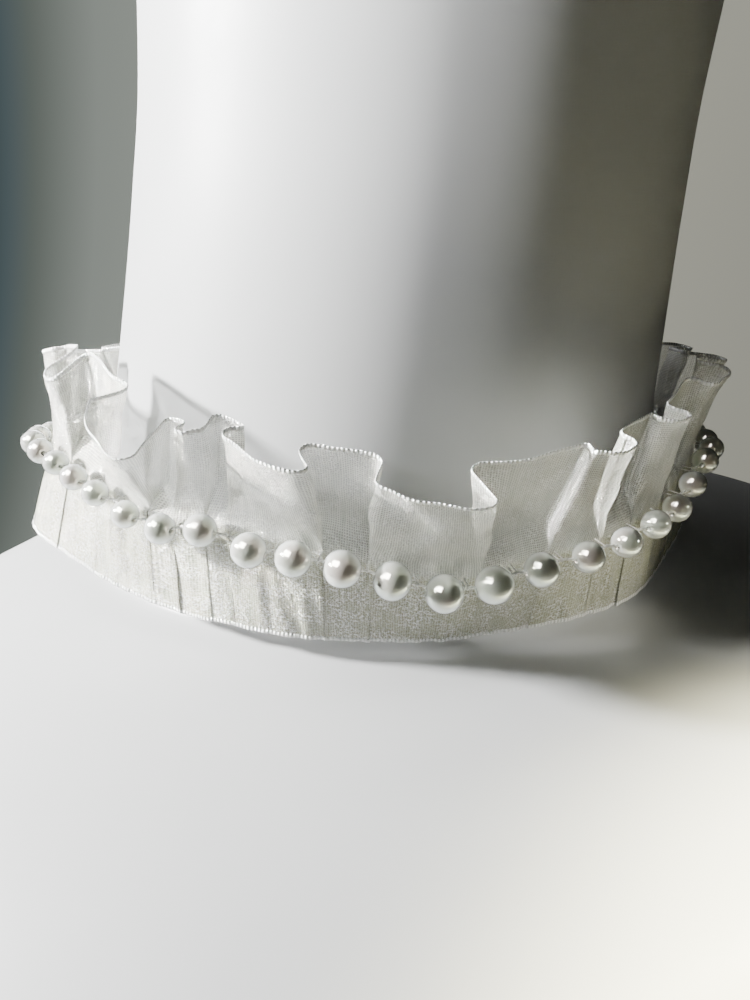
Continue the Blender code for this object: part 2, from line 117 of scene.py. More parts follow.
# Round the neck: the angle from the front (+X side positive), how much further out than
# LINE_RADIUS the pearl line runs, its height, the length of the hem below it, how far the
# standing ruffle leans out and how far the hem tucks in, in millimetres and degrees
PROFILE_COLUMNS = ("angle", "spread", "line", "hem", "flare", "tuck")
PROFILE = (
    (-180.0, 0.0, -17.5, 17.0, 6.0, 0.0),
    (-150.0, 0.5, -16.0, 17.0, 6.0, -3.0),
    (-122.0, 1.5, -12.0, 17.0, 4.0, -8.0),
    (-106.0, 2.4, -7.0, 17.0, 0.0, -14.0),
    (-93.0, 3.0, -2.3, 16.6, -7.0, -20.0),
    (-82.0, 2.5, 0.6, 16.4, -13.0, -22.0),
    (-72.0, 1.2, 1.8, 16.6, -6.0, -17.0),
    (-62.0, 0.2, 1.0, 17.0, -1.0, -9.0),
    (-50.0, 0.0, 0.2, 17.0, 3.0, -2.0),
    (-42.0, 0.0, 2.0, 18.0, 8.0, -1.0),
    (-30.0, 0.0, 0.3, 17.0, 15.0, 3.0),
    (-18.0, 0.0, -2.3, 15.4, 17.0, 9.0),
    (-11.0, 0.0, -4.7, 14.0, 17.0, 13.0),
    (1.0, 0.0, -3.0, 15.0, 18.0, 8.0),
    (9.0, 0.0, -2.9, 15.2, 15.0, 5.0),
    (20.0, -0.4, -3.1, 16.0, 8.0, -1.0),
    (31.0, -0.7, -3.3, 16.5, 5.0, -3.0),
    (44.0, -0.2, -1.2, 17.0, 4.0, -3.0),
    (51.0, 1.0, -1.6, 17.0, 3.0, -3.0),
    (62.0, 1.5, -4.0, 17.0, 2.0, -4.0),
    (75.0, 1.4, -6.8, 17.0, 2.0, -4.0),
    (92.0, 1.0, -9.5, 17.0, 3.0, -4.0),
    (120.0, 0.5, -14.0, 17.0, 4.0, -2.0),
    (150.0, 0.2, -16.8, 17.0, 5.0, 0.0),
)

# One row for each pleat: its middle and half width at the stitches, in degrees, the share
# of that width left at the top edge, how far its front stands out there, how much more its
# right corner does than its left, how far the top leans sideways, how far the recess after
# it rises there, how far each side folds back under it there, and how much lower its front
# ends than the ribbon is wide. Most pleats share the last four, PLAIN
PLEAT_COLUMNS = (
    "middle", "half", "narrowing", "depth", "skew", "lean", "rise", "left", "right", "drop"
)
PLAIN = (0.0, 1.6, 1.6, 0.0)
PLEATS = (
    (-165.0, 5.4, 0.85, 7.0, 0.5, 0.5, *PLAIN),
    (-149.0, 6.0, 0.8, 8.0, -0.8, -1.0, *PLAIN),
    (-132.0, 5.6, 0.9, 6.5, 0.6, 1.0, *PLAIN),
    (-115.0, 6.2, 0.8, 7.5, 0.0, -0.8, *PLAIN),
    (-98.0, 5.8, 0.85, 4.2, -0.5, 0.0, *PLAIN),
    (-80.0, 6.5, 0.85, 6.8, 0.0, 0.5, 0.0, 1.6, 1.6, 3.2),
    (-60.0, 6.3, 1.35, 11.8, 5.2, 8.5, 3.4, 1.6, 2.2, 0.0),
    (-46.8, 3.2, 0.6, 5.4, -1.0, 4.5, *PLAIN),
    (-33.8, 7.2, 1.0, 6.0, 2.6, 1.2, 0.0, 5.6, 5.0, 0.0),
    (-13.4, 8.2, 0.75, 8.8, 1.2, -1.2, *PLAIN),
    (8.6, 5.6, 0.66, 3.4, 0.9, 0.0, *PLAIN),
    (25.5, 5.4, 0.68, 4.0, 1.8, -0.3, *PLAIN),
    (44.0, 6.0, 0.85, 5.0, 0.0, 0.5, *PLAIN),
    (62.0, 6.2, 0.8, 6.0, 0.8, -1.0, *PLAIN),
    (80.0, 5.6, 0.85, 7.5, 0.8, -1.0, *PLAIN),
    (97.0, 6.0, 0.8, 7.0, 0.0, 1.0, *PLAIN),
    (114.0, 5.4, 0.9, 8.0, -0.6, 0.0, *PLAIN),
    (131.0, 6.3, 0.75, 7.5, 1.0, 1.0, *PLAIN),
    (148.0, 5.8, 0.85, 6.5, 0.0, -1.0, *PLAIN),
    (164.2, 5.2, 0.9, 8.0, -0.5, 0.0, *PLAIN),
)

# The bust from its base up: height, x, y, width, front, back, tilt and square. A section is
# a squared oval, tilted more and more until it lies in the collar's plane
BUST = (
    (0.0, 0.0, 0.0, 118.0, 93.0, 67.0, 0.0, 2.5),
    (3.0, 0.0, 0.0, 121.0, 96.5, 70.0, 0.0, 2.5),
    (30.0, 0.0, 0.0, 128.0, 103.0, 75.0, 1.0, 2.5),
    (52.0, 0.0, 0.0, 131.0, 104.0, 76.0, 3.0, 2.4),
    (66.0, 2.5, 1.5, 128.0, 101.0, 75.0, 4.5, 2.3),
    (76.0, 6.5, 2.5, 117.0, 90.5, 73.5, 5.5, 2.2),
    (82.5, 6.0, 3.3, 101.0, 75.0, 71.0, 6.0, 2.1),
    (87.3, 2.5, 4.0, 84.0, 62.5, 68.0, 6.4, 2.0),
    (90.6, 0.0, 4.0, 69.0, 57.0, 65.0, 6.4, 2.0),
    (92.4, 0.0, 4.0, 60.2, 54.8, 61.0, 6.6, 2.0),
    (97.0, 0.0, 3.8, 59.6, 53.4, 60.0, 8.0, 2.0),
    (104.0, 0.3, 3.0, 58.8, 53.0, 58.2, 11.0, 2.0),
    (118.0, 1.5, 0.6, 56.6, 52.5, 56.0, 14.0, 2.0),
    (137.7, 3.4, -3.7, 53.8, 51.5, 54.0, 14.0, 2.0),
    (157.2, 5.2, -8.0, 51.3, 50.5, 51.5, 14.0, 2.0),
    (176.8, 7.1, -12.3, 49.5, 49.5, 50.0, 14.0, 2.0),
    (201.2, 9.4, -17.7, 49.0, 49.0, 49.0, 14.0, 2.0),
    (207.5, 10.0, -19.1, 47.2, 47.2, 47.2, 14.0, 2.0),
    (211.0, 10.3, -19.9, 43.0, 43.0, 43.0, 14.0, 2.0),
    (213.0, 10.5, -20.4, 34.0, 34.0, 34.0, 14.0, 2.0),
)

# ---- sizes of the finer model

BUST_SIDES = 192
BUST_ROWS = 150
TOP_RINGS = 8
TOP_RISE = 0.9

# The layers where they are sewn and pressed, from the pearl line's radius, the share of the
# ruffle's height over which they open, how tightly they turn and how far a front bulges
LAYER_FRONT = 0.24
LAYER_STEP = 0.09
PRESS_REACH = 0.30
PRESSED_TURN = 0.04
FRONT_BULGE = 0.7
HEM_BULGE = 0.25
HEM_OPENING = -0.25

# Steps in a fold's turn and in each part of a pleat, and rows of the ruffle and hem
TURN_STEPS = 6
SEGMENT_STEPS = (9, 5, 26, 5, 9)
RUFFLE_ROWS = 28
HEM_ROWS = 18

# Gathers by the stitches, dents in the free cloth and ripples in the hem: how deep, how
# far from the stitches they fade or grow, and how slowly they change across the ribbon
GATHER_DEPTH = 0.10
GATHER_REACH = 4.0
GATHER_ACROSS = 0.12
DENT_DEPTH = 0.28
DENT_START = 3.0
DENT_REACH = 9.0
RIPPLE_DEPTH = 0.08
RIPPLE_REACH = 9.0
RIPPLE_ACROSS = 0.25

SELVEDGE_WIDTH = 0.75
SELVEDGE_THICK = 0.24
SELVEDGE_SIDES = 6

# Pearls: rings and sides of each, its hole's radius and how much it varies
PEARL_RINGS = 18
PEARL_SIDES = 28
PEARL_HOLE = 0.42
PEARL_LIP = 0.8
HOLE_DEPTH = 0.5
PEARL_VARIES = 0.008

# The strand's thread, how far it dips between two pearls, and the stitches that hold it
THREAD = 0.22
STRAND_DIP = 1.1
DIP_START = 1.35
DIP_POWER = 1.5
STRAND_STEPS = 16
STITCH_THREAD = 0.10
STITCH_SPAN = 0.28
STITCH_RISE = 0.36
STITCH_SLANT = 0.12
STITCH_BEND = 0.75
STITCH_DIVE = 8.0

# The button's outline: the dome's share of its thickness, its rolled rim's share of its
# radius, how far the shank widens into it and over what height
BUTTON_DOME = 0.6
BUTTON_RIM = 0.2
SHANK_FOOT = 1.5
SHANK_FILLET = 0.35
DOME_STEPS = 14
RIM_STEPS = 6
BUTTON_SIDES = 48

# The loop's two plies: how far each runs from the middle, its radius, and one turn's length
PLY_OFFSET = 0.45
PLY_RADIUS = 0.55
PLY_TURN = 1.3
LOOP_END_STEPS = 24
LOOP_SIDE_STEPS = 20
LOOP_INSET = 3.0

# From one thread, rib or turn of ply to the next
WEAVE_PITCH = 0.33
RIB_PITCH = 0.62
THREAD_PITCH = 0.7

# ---- camera and light

CAMERA_PLACE = (-0.053032, -0.139799, 0.138550)
CAMERA_RIGHT = (0.942541, -0.327756, -0.064748)
CAMERA_UP = (0.143730, 0.222854, 0.964198)
CAMERA_BACK = (-0.301593, -0.918102, 0.257157)
CAMERA_LENS = 27.0
SENSOR_HEIGHT = 36.0

# Metres: what the lights' azimuths turn about, and what the panels round it face
LIGHT_CENTRE = (0.0, 0.014, 0.118)
LIGHT_TARGET = (0.0, 0.014, 0.12)

# Millimetres: the floor's rings, and how far under the bust it lies
FLOOR_RINGS = np.geomspace(20.0, 360.0, 24)
FLOOR_SIDES = 96
FLOOR_DROP = 0.1

# The room's colours across the view, how much they lean, and the room's strength where it
# is seen and where it lights the object
ROOM = (
    (0.0, (0.020, 0.030, 0.030)),
    (0.26, (0.030, 0.050, 0.052)),
    (0.279, (0.080, 0.107, 0.114)),
    (0.2905, (0.122, 0.142, 0.127)),
    (0.320, (0.255, 0.280, 0.255)),
    (0.40, (0.345, 0.365, 0.325)),
    (0.66, (0.370, 0.368, 0.310)),
    (1.0, (0.150, 0.150, 0.130)),
)
ROOM_SPAN = (-1.025, 0.975)
ROOM_LEAN = -0.165
ROOM_SEEN = 1.0
ROOM_LIGHT = 0.05


def metres(points):
    return np.asarray(points, float) * 0.001


def mix(a, b, t):
    return a + (b - a) * t


def smooth_step(t):
    t = np.clip(t, 0.0, 1.0)
    return t * t * (3 - 2 * t)


def read_table(rows, columns, column):
    return np.array([row[columns.index(column)] for row in rows])


def hermite(x, values, slopes, at):
    """The cubic through a table's rows with these slopes."""
    i = np.clip(np.searchsorted(x, at, side="right") - 1, 0, len(x) - 2)
    span = x[i + 1] - x[i]
    t = (at - x[i]) / span
    start = (1 + 2 * t) * (1 - t) ** 2 * values[i] + t * (1 - t) ** 2 * span * slopes[i]
    end = t * t * (3 - 2 * t) * values[i + 1] - t * t * (1 - t) * span * slopes[i + 1]
    return start + end


def unit(vectors):
    """Vectors scaled to a length of one."""
    vectors = np.asarray(vectors, float)
    return vectors / np.linalg.norm(vectors, axis=-1, keepdims=True)


def full_turn(sides):
    """The angles of this many points round a circle."""
    return 2 * math.pi * np.arange(sides) / sides


def travelled(path):
    """How far along a path each of its points is."""
    steps = np.linalg.norm(np.diff(path, axis=0), axis=1)
    return np.concatenate([[0.0], np.cumsum(steps)])


def profile(column, angle):
    """A soft curve through one column of the profile, round the full turn."""
    x = read_table(PROFILE, PROFILE_COLUMNS, "angle")
    values = read_table(PROFILE, PROFILE_COLUMNS, column)
    x = np.concatenate([x[-2:] - 360.0, x, x[:2] + 360.0])
    values = np.concatenate([values[-2:], values, values[:2]])
    at = (np.asarray(angle, float) - x[2]) % 360.0 + x[2]
    return hermite(x, values, np.gradient(values, x), at)


def on_collar(angle, radius, height):
    """A point round the neck, from the collar's plane into the part's own frame."""
    turn = np.radians(angle)
    x = radius * np.sin(turn)
    y = -radius * np.cos(turn)
    tilted_y = y * math.cos(COLLAR_TILT) - height * math.sin(COLLAR_TILT)
    tilted_z = y * math.sin(COLLAR_TILT) + height * math.cos(COLLAR_TILT)
    return np.stack([x, NECK_BACK + tilted_y, COLLAR_HEIGHT + tilted_z], axis=-1)


def line_radius(angle):
    return LINE_RADIUS + profile("spread", angle)


def wander(a, b, seed, waves, shortest, longest):
    """A gentle random height over two coordinates, about -1 to 1, the same every run."""
    rng = np.random.default_rng(seed)
    total = np.zeros(np.broadcast(a, b).shape)
    for _ in range(waves):
        length = shortest * (longest / shortest) ** rng.random()
        way = rng.random() * 2 * math.pi
        phase = rng.random() * 2 * math.pi
        along = a * math.cos(way) + b * math.sin(way)
        total += np.sin(2 * math.pi * along / length + phase)
    return total / math.sqrt(waves)


# ---- mesh helpers


def grid_faces(rows, columns, wrap_rows=False, wrap_columns=True, first=0):
    """Quads between rows of points, wrapped round where asked."""
    j = np.arange(rows if wrap_rows else rows - 1)[:, None]
    i = np.arange(columns if wrap_columns else columns - 1)[None, :]
    up, on = (j + 1) % rows, (i + 1) % columns
    quads = np.stack(
        [j * columns + i, j * columns + on, up * columns + on, up * columns + i], axis=-1
    )
    return (quads.reshape(-1, 4) + first).tolist()


def add_piece(name, material, verts, faces, uv=None):
    """A smooth object from vertices in mm. uv gives each vertex its place on the cloth map."""
    mesh = bpy.data.meshes.new(name)
    mesh.from_pydata(metres(verts).tolist(), [], faces)
    mesh.update()
    mesh.shade_smooth()
    if uv is not None:
        layer = mesh.uv_layers.new(name="cloth")
        index = np.empty(len(mesh.loops), np.int64)
        mesh.loops.foreach_get("vertex_index", index)
        layer.data.foreach_set("uv", np.asarray(uv, np.float32)[index].reshape(-1))
    mesh.materials.append(material)
    obj = bpy.data.objects.new(name, mesh)
    bpy.context.scene.collection.objects.link(obj)
    return obj


def sweep(path, radius, sides, closed=False, flat=None, wide=None):
    """A tube round a path, in mm. flat is each point's wide direction and wide its half
    width that way; without flat, the path may not start upright. Returns vertices, faces
    and (along, round) coordinates."""
    path = np.asarray(path, float)
    count = len(path)
    if closed:
        ahead = np.roll(path, -1, 0) - np.roll(path, 1, 0)
    else:
        ahead = np.gradient(path, axis=0)
    ahead = unit(ahead)
    if flat is None:
        side = np.zeros_like(path)
        side[0] = unit(np.cross(ahead[0], (0.0, 0.0, 1.0)))
        for k in range(1, count):
            side[k] = unit(side[k - 1] - ahead[k] * (side[k - 1] @ ahead[k]))
    else:
        side = unit(flat - ahead * np.sum(flat * ahead, axis=1)[:, None])
    other = np.cross(ahead, side)
    turn = full_turn(sides)
    radius = np.broadcast_to(radius, count)
    wide = radius if wide is None else np.broadcast_to(wide, count)
    verts = (
        path[:, None, :]
        + side[:, None, :] * (wide[:, None] * np.cos(turn))[:, :, None]
        + other[:, None, :] * (radius[:, None] * np.sin(turn))[:, :, None]
    )
    faces = grid_faces(count, sides, wrap_rows=closed)
    if not closed:
        faces.append(list(range(sides))[::-1])
        faces.append([(count - 1) * sides + k for k in range(sides)])
    along = travelled(path)[:, None]
    uv = np.stack(np.broadcast_arrays(along, (turn / (2 * math.pi))[None, :]), -1)
    return verts.reshape(-1, 3), faces, uv.reshape(-1, 2)


def join_parts(parts):
    """Several (vertices, faces, uv) as one."""
    verts, faces, uvs, first = [], [], [], 0
    for part_verts, part_faces, part_uv in parts:
        verts.append(part_verts)
        faces += [[v + first for v in face] for face in part_faces]
        uvs.append(part_uv)
        first += len(part_verts)
    return np.concatenate(verts), faces, np.concatenate(uvs)


# ---- material helpers


class Nodes:
    """Builds the node tree of a material, or of the world, with short calls."""

    def __init__(self, owner, shader="Principled BSDF"):
        owner.use_nodes = True
        self.owner = owner
        self.tree = owner.node_tree
        self.shader = self.tree.nodes[shader]

    def add(self, kind, **settings):
        node = self.tree.nodes.new(kind)
        for key, value in settings.items():
            setattr(node, key, value)
        return node

    def link(self, source, target):
        self.tree.links.new(source, target)

    def put(self, socket, value):
        if hasattr(value, "is_output"):
            self.link(value, socket)
        else:
            socket.default_value = value

    def math(self, operation, *values):
        node = self.add("ShaderNodeMath", operation=operation)
        for socket, value in zip(node.inputs, values):
            self.put(socket, value)
        return node.outputs[0]

    def fit(self, value, low, high, to_low, to_high, smooth=False):
        node = self.add("ShaderNodeMapRange")
        if smooth:
            node.interpolation_type = "SMOOTHSTEP"
        for socket, v in zip(node.inputs, (value, low, high, to_low, to_high)):
            self.put(socket, v)
        return node.outputs[0]

    def share(self, value, low, high):
        """A value as a share of the way from low to high."""
        return self.fit(value, low, high, 0.0, 1.0)

    def colour(self, share, first, second):
        """A mix of two colours, each a plain one or made by nodes."""
        node = self.add("ShaderNodeMix", data_type="RGBA")
        self.put(node.inputs[0], share)
        for socket, value in ((node.inputs[6], first), (node.inputs[7], second)):
            self.put(socket, (*value, 1.0) if isinstance(value, tuple) else value)
        return node.outputs[2]

    def noise(self, vector, scale, detail=3.0, roughness=0.5):
        node = self.add("ShaderNodeTexNoise")
        self.link(vector, node.inputs["Vector"])
        node.inputs["Scale"].default_value = scale
        node.inputs["Detail"].default_value = detail
        node.inputs["Roughness"].default_value = roughness
        return node.outputs[0]

    def place(self):
        return self.add("ShaderNodeTexCoord").outputs["Object"]

    def cloth_map(self):
        """The cloth's own coordinates in mm: both together, along it and across it."""
        both = self.add("ShaderNodeUVMap", uv_map="cloth").outputs[0]
        split = self.add("ShaderNodeSeparateXYZ")
        self.link(both, split.inputs[0])
        return both, split.outputs[0], split.outputs[1]

    def waves(self, value, pitch):
        return self.math("SINE", self.math("MULTIPLY", value, 2 * math.pi / pitch))

    def dot(self, vector, way):
        node = self.add("ShaderNodeVectorMath", operation="DOT_PRODUCT")
        self.link(vector, node.inputs[0])
        node.inputs[1].default_value = way
        return node.outputs["Value"]

    def bump(self, height, strength, distance, before=None):
        node = self.add("ShaderNodeBump")
        node.inputs["Strength"].default_value = strength
        node.inputs["Distance"].default_value = distance
        self.link(height, node.inputs["Height"])
        if before is not None:
            self.link(before, node.inputs["Normal"])
        return node.outputs[0]

    def set(self, **values):
        """Sets the shader's sockets, with _ for a space, and returns the material."""
        for key, value in values.items():
            self.put(self.shader.inputs[key.replace("_", " ")], value)
        return self.owner


def new_material(name):
    return Nodes(bpy.data.materials.new(name))


def organza_material():
    """Sheer plain weave: threads with holes between them, glossy in changing patches, with
    painted glints.
    """
    n = new_material("organza")
    uv, along, across = n.cloth_map()
    # Where the hem is: the pressed hem is denser than the ruffle, and its colour is darker,
    # painted shade
    hem = n.fit(across, 1.0, -1.0, 0.0, 1.0, smooth=True)
    # Slightly uneven threads
    drift = n.noise(uv, 0.25, 2.0)
    along = n.math("ADD", along, n.math("MULTIPLY", drift, 0.5))
    across = n.math("ADD", across, n.math("MULTIPLY", drift, -0.4))
    threads = n.math("MAXIMUM", n.waves(along, WEAVE_PITCH), n.waves(across, WEAVE_PITCH))
    cover = n.fit(threads, -0.2, 0.75, 0.34, 0.70, smooth=True)
    patches = n.noise(uv, 0.13, 3.0)
    cover = n.math("ADD", cover, n.fit(patches, 0.3, 0.7, -0.06, 0.06))
    cover = n.math("MULTIPLY_ADD", hem, 0.20, cover)
    # Long streaks of colour across the ribbon
    streaks = n.add("ShaderNodeMapping")
    n.link(uv, streaks.inputs[0])
    streaks.inputs["Scale"].default_value = (1.6, 0.12, 1.0)
    streak = n.share(n.noise(streaks.outputs[0], 1.0, 3.0, 0.6), 0.3, 0.7)
    ruffle_colour = n.colour(streak, (0.64, 0.65, 0.56), (0.88, 0.88, 0.79))
    # The hem's colours are far darker than the ruffle's: painted shade under the pearls and on
    # its front, which faces away from the light
    painted_shade_hem_colour = n.colour(streak, (0.345, 0.345, 0.225), (0.51, 0.51, 0.365))
    colour = n.colour(hem, ruffle_colour, painted_shade_hem_colour)
    # Specks where single threads catch the light, gathered in patches: glossier there, and
    # their colour is lightened towards white as a painted glint
    specks = n.noise(uv, 2.4, 2.0, 0.8)
    shine = n.fit(n.noise(uv, 0.30, 2.0), 0.40, 0.58, 0.0, 1.0, smooth=True)
    shine = n.math("MULTIPLY_ADD", hem, 0.3, shine)
    bright = n.math("MULTIPLY", n.share(specks, 0.49, 0.57), shine)
    weave = n.bump(threads, 0.6, 0.00012)
    uneven = n.math("MULTIPLY", specks, n.math("ADD", shine, 0.4))
    return n.set(
        # Near white at the specks: a painted glint in the base colour
        Base_Color=n.colour(n.math("MULTIPLY", bright, 0.85), colour, (0.97, 0.97, 0.93)),
        Alpha=n.math("MULTIPLY_ADD", bright, 0.25, cover),
        Roughness=n.fit(bright, 0.0, 1.0, 0.48, 0.16),
        Coat_Weight=bright,
        Coat_Roughness=0.12,
        Coat_IOR=1.8,
        Sheen_Weight=0.06,
        Sheen_Roughness=0.4,
        Specular_IOR_Level=0.9,
        Normal=n.bump(uneven, 0.8, 0.0006, weave),
    )


def selvedge_material():
    """The ribbon's dense ribbed edge, one bright cord with cross threads."""
    n = new_material("organza_selvedge")
    uv, along, _ = n.cloth_map()
    drift = n.noise(uv, 0.4, 2.0)
    ribs = n.waves(n.math("ADD", along, n.math("MULTIPLY", drift, 0.5)), RIB_PITCH)
    return n.set(
        Base_Color=n.colour(n.share(ribs, -1.0, 1.0), (0.82, 0.83, 0.80), (0.97, 0.97, 0.96)),
        Roughness=n.fit(ribs, -1.0, 1.0, 0.5, 0.28),
        Alpha=n.fit(ribs, -1.0, 0.3, 0.86, 1.0),
        Specular_IOR_Level=0.7,
        Normal=n.bump(ribs, 0.8, 0.00012),
    )


def pearl_material(name="pearl"):
    """Nacre-coated glass pearl: a soft mirror under a hard clear coat, faintly iridescent, with
    a painted reflection at its rim.
    """
    n = new_material(name)
    place = n.place()
    cloud = n.noise(place, 320.0, 3.0)
    cloudy = n.share(cloud, 0.3, 0.7)
    body = n.colour(cloudy, (0.50, 0.50, 0.41), (0.66, 0.65, 0.56))
    # Green in some pearls and rose in others, and paler all round the rim where the view grazes
    # it: a painted reflection
    tint = n.share(n.noise(place, 150.0, 1.0), 0.42, 0.58)
    tinted = n.colour(0.35, body, n.colour(tint, (0.60, 0.74, 0.64), (0.82, 0.68, 0.68)))
    pale = n.colour(cloudy, (0.92, 0.93, 0.88), (0.96, 0.96, 0.93))
    rim = n.add("ShaderNodeLayerWeight")
    rim.inputs[0].default_value = 0.42
    return n.set(
        # Darker where the pearl faces the view and paler at its rim: painted reflection
        Base_Color=n.colour(n.share(rim.outputs[1], 0.08, 0.44), tinted, pale),
        Roughness=n.fit(cloud, 0.3, 0.7, 0.05, 0.12),
        Thin_Film_Thickness=420.0,
        Thin_Film_IOR=1.45,
        Metallic=0.36,
        Specular_IOR_Level=0.8,
        Coat_Weight=1.0,
        Coat_Roughness=0.04,
        Coat_IOR=1.6,
        Normal=n.bump(n.noise(place, 900.0, 2.0), 0.12, 0.0001),
    )


def thread_material():
    """White sewing thread with its ply showing."""
    n = new_material("thread")
    _, along, around = n.cloth_map()
    lay = n.math("MULTIPLY", along, 2 * math.pi / THREAD_PITCH)
    ply = n.math("SINE", n.math("ADD", lay, n.math("MULTIPLY", around, 4 * math.pi)))
    return n.set(
        Base_Color=n.colour(n.share(ply, -1.0, 1.0), (0.7, 0.7, 0.66), (0.93, 0.93, 0.9)),
        Roughness=n.fit(ply, -1.0, 1.0, 0.7, 0.45),
        Normal=n.bump(ply, 0.7, 0.00008),
    )


def bust_material():
    """Satin white moulded shell with a trace of texture, dust and rubbed places."""
    n = new_material("bust_shell")
    place = n.place()
    cloud = n.noise(place, 9.0, 4.0)
    grain = n.noise(place, 1400.0, 2.0)
    wear = n.noise(place, 45.0, 6.0, 0.7)
    return n.set(
        Base_Color=n.colour(n.share(cloud, 0.3, 0.7), (0.55, 0.56, 0.565), (0.60, 0.61, 0.615)),
        Roughness=n.fit(wear, 0.35, 0.7, 0.36, 0.48),
        Specular_IOR_Level=0.4,
        Normal=n.bump(cloud, 0.15, 0.0012, n.bump(grain, 0.08, 0.00008)),
    )


def floor_material():
    """A plain pale floor round the bust that fades out softly into the room."""
    n = new_material("studio_floor")
    place = n.place()
    length = n.add("ShaderNodeVectorMath", operation="LENGTH")
    n.link(place, length.inputs[0])
    speck = n.noise(place, 60.0, 4.0)
    return n.set(
        Base_Color=n.colour(n.share(speck, 0.3, 0.7), (0.66, 0.66, 0.64), (0.72, 0.72, 0.70)),
        Roughness=n.fit(speck, 0.3, 0.7, 0.75, 0.9),
        Alpha=n.fit(length.outputs["Value"], 0.24, 0.35, 1.0, 0.0, smooth=True),
        Specular_IOR_Level=0.1,
    )


# ---- the bust


def bust_point(row, a):
    """One point of a section; row holds arrays and a is the turn round it."""
    height, x, y, width, front, back, tilt, square = row
    c, s = np.cos(a), np.sin(a)
    across = width * np.sign(c) * np.abs(c) ** (2 / square)
    deep = np.where(s > 0, back, front) * np.sign(s) * np.abs(s) ** (2 / square)
    lean = np.radians(tilt)
    back_and_forth = NECK_BACK + y + deep * np.cos(lean)
    return np.stack([x + across, back_and_forth, height + deep * np.sin(lean)], -1)


def monotone_read(x, values, at):
    """A soft curve through a table's rows that never overshoots them."""
    steps = np.diff(values) / np.diff(x)
    slopes = np.zeros(len(x))
    same = steps[:-1] * steps[1:] > 0
    harmonic = 2 * steps[:-1] * steps[1:] / np.where(same, steps[:-1] + steps[1:], 1.0)
    slopes[1:-1] = np.where(same, harmonic, 0.0)
    slopes[0], slopes[-1] = steps[0], steps[-1]
    return hermite(x, values, slopes, at)


def build_bust(material):
    table = np.array(BUST)
    # Rows are read along the outline's own length, so that steep and flat parts share them
    outline = travelled(table[:, [0, 3]])
    at = np.linspace(0.0, outline[-1], BUST_ROWS)
    columns = [monotone_read(outline, table[:, k], at)[:, None] for k in range(table.shape[1])]
    verts = bust_point(columns, full_turn(BUST_SIDES)).reshape(-1, 3)
    faces = grid_faces(BUST_ROWS, BUST_SIDES)
    faces.append(list(range(BUST_SIDES))[::-1])
    # The dome over the top ring, in rings that shrink to a point
    top = verts[-BUST_SIDES:]
    centre = top.mean(axis=0)
    rise = np.array((0.0, -math.sin(COLLAR_TILT), math.cos(COLLAR_TILT))) * TOP_RISE
    first = len(verts) - BUST_SIDES
    a = [k / TOP_RINGS * math.pi / 2 for k in range(1, TOP_RINGS)]
    rings = [centre + (top - centre) * math.cos(x) + rise * math.sin(x) for x in a]
    verts = np.concatenate([verts] + rings + [[centre + rise]])
    faces += grid_faces(TOP_RINGS, BUST_SIDES, first=first)
    last, tip = len(verts) - 1 - BUST_SIDES, len(verts) - 1
    faces += [[last + k, last + (k + 1) % BUST_SIDES, tip] for k in range(BUST_SIDES)]
    bust = add_piece("bust_surface", material, verts, faces)
    bust.data.set_sharp_from_angle(angle=math.radians(60))
    return bust


# ---- the ribbon


def rounded_corner(before, corner, after, radius):
    """The arc that rounds one corner of the folded line."""
    to_before, to_after = before - corner, after - corner
    length_before, length_after = np.linalg.norm(to_before), np.linalg.norm(to_after)
    to_before, to_after = to_before / length_before, to_after / length_after
    half_angle = 0.5 * math.acos(float(np.clip(to_before @ to_after, -0.99999, 1.0)))
    reach = min(radius / math.tan(half_angle), TURN_REACH * min(length_before, length_after))
    radius = reach * math.tan(half_angle)
    middle = to_before + to_after
    centre = corner + middle / np.linalg.norm(middle) * radius / math.sin(half_angle)
    start = corner + to_before * reach - centre
    end = corner + to_after * reach - centre
    turn = math.atan2(start[0] * end[1] - start[1] * end[0], float(start @ end))
    a = turn * np.arange(TURN_STEPS + 1) / TURN_STEPS
    c, s = np.cos(a), np.sin(a)
    return centre + np.stack([c * start[0] - s * start[1], s * start[0] + c * start[1]], -1)


def pleat_edges(level, end):
    """Where each pleat's share of the round starts, in degrees, and where the last ends."""
    middle = read_table(PLEATS, PLEAT_COLUMNS, "middle")
    half = read_table(PLEATS, PLEAT_COLUMNS, "half")
    lean = read_table(PLEATS, PLEAT_COLUMNS, "lean")
    between = 0.5 * (middle[:-1] + half[:-1] + middle[1:] - half[1:])
    between += 0.5 * (lean[:-1] + lean[1:]) * level
    return np.concatenate([[-end], between, [end]])


